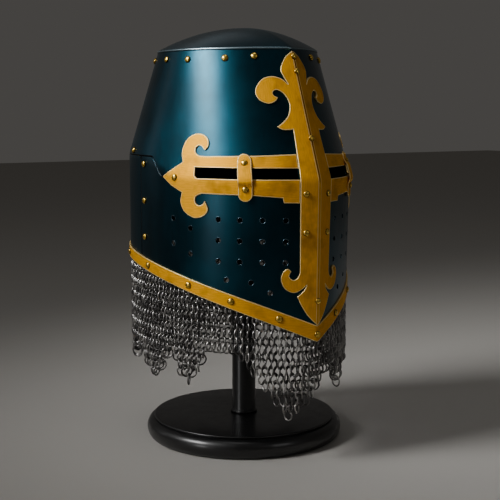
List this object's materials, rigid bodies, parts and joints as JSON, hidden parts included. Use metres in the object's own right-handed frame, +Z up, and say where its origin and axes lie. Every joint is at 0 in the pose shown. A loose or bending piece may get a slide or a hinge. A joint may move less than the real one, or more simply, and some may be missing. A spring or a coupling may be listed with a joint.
{
  "type": "crusader helmet on display stand",
  "caption": "Flat-topped great helm with a keeled face, eye slits framed by a brass cross, breath holes and a dagged mail skirt, carried on a round turned stand.",
  "frame": {"origin": "centre of the underside of the stand's base, where it rests on a table", "axes": "+Z up; the helmet's face looks along -Y; +X is the wearer's left"},
  "size_m": [0.2298, 0.2892, 0.4455],
  "materials": {
    "lacquered_steel": "teal lacquer over smooth sheet steel, satin gloss",
    "brass": "antique brushed brass with bright bevelled edges",
    "mail_steel": "dark round-wire mail rings with bright glints",
    "black_lacquer": "gloss black lacquer on turned wood"
  },
  "bodies": {
    "root": {"crown_dome": "lacquered_steel", "upper_skull": "lacquered_steel", "lower_front_plate": "lacquered_steel", "lower_back_plate": "lacquered_steel", "cross_upright": "brass", "cross_arm_right": "brass", "cross_arm_left": "brass", "sight_strap_right": "brass", "sight_strap_left": "brass", "bottom_band": "brass", "mail_aventail": "mail_steel", "stand_base": "black_lacquer", "stand_post": "black_lacquer", "rim_rivet_right_1": "brass", "rim_rivet_left_1": "brass", "rim_rivet_right_2": "brass", "rim_rivet_left_2": "brass", "rim_rivet_right_3": "brass", "rim_rivet_left_3": "brass", "rim_rivet_right_4": "brass", "rim_rivet_left_4": "brass", "rim_rivet_right_5": "brass", "rim_rivet_left_5": "brass", "rim_rivet_right_6": "brass", "rim_rivet_left_6": "brass", "keel_rivet_1": "brass", "keel_rivet_2": "brass", "keel_rivet_3": "brass", "keel_rivet_4": "brass", "upright_rivet_right_1": "brass", "upright_rivet_left_1": "brass", "upright_rivet_right_2": "brass", "upright_rivet_left_2": "brass", "arm_rivet_right_1": "brass", "arm_rivet_left_1": "brass", "strap_rivet_right_1": "brass", "strap_rivet_left_1": "brass", "strap_rivet_right_2": "brass", "strap_rivet_left_2": "brass", "side_rivet_right_1": "brass", "side_rivet_left_1": "brass", "side_rivet_right_2": "brass", "side_rivet_left_2": "brass", "side_rivet_right_3": "brass", "side_rivet_left_3": "brass", "seam_rivet_right_1": "brass", "seam_rivet_left_1": "brass", "band_rivet_right_1": "brass", "band_rivet_left_1": "brass", "band_rivet_right_2": "brass", "band_rivet_left_2": "brass", "band_rivet_right_3": "brass", "band_rivet_left_3": "brass", "band_rivet_right_4": "brass", "band_rivet_left_4": "brass", "band_rivet_right_5": "brass", "band_rivet_left_5": "brass", "band_rivet_right_6": "brass", "band_rivet_left_6": "brass", "band_rivet_middle_1": "brass"}
  },
  "joints": []
}
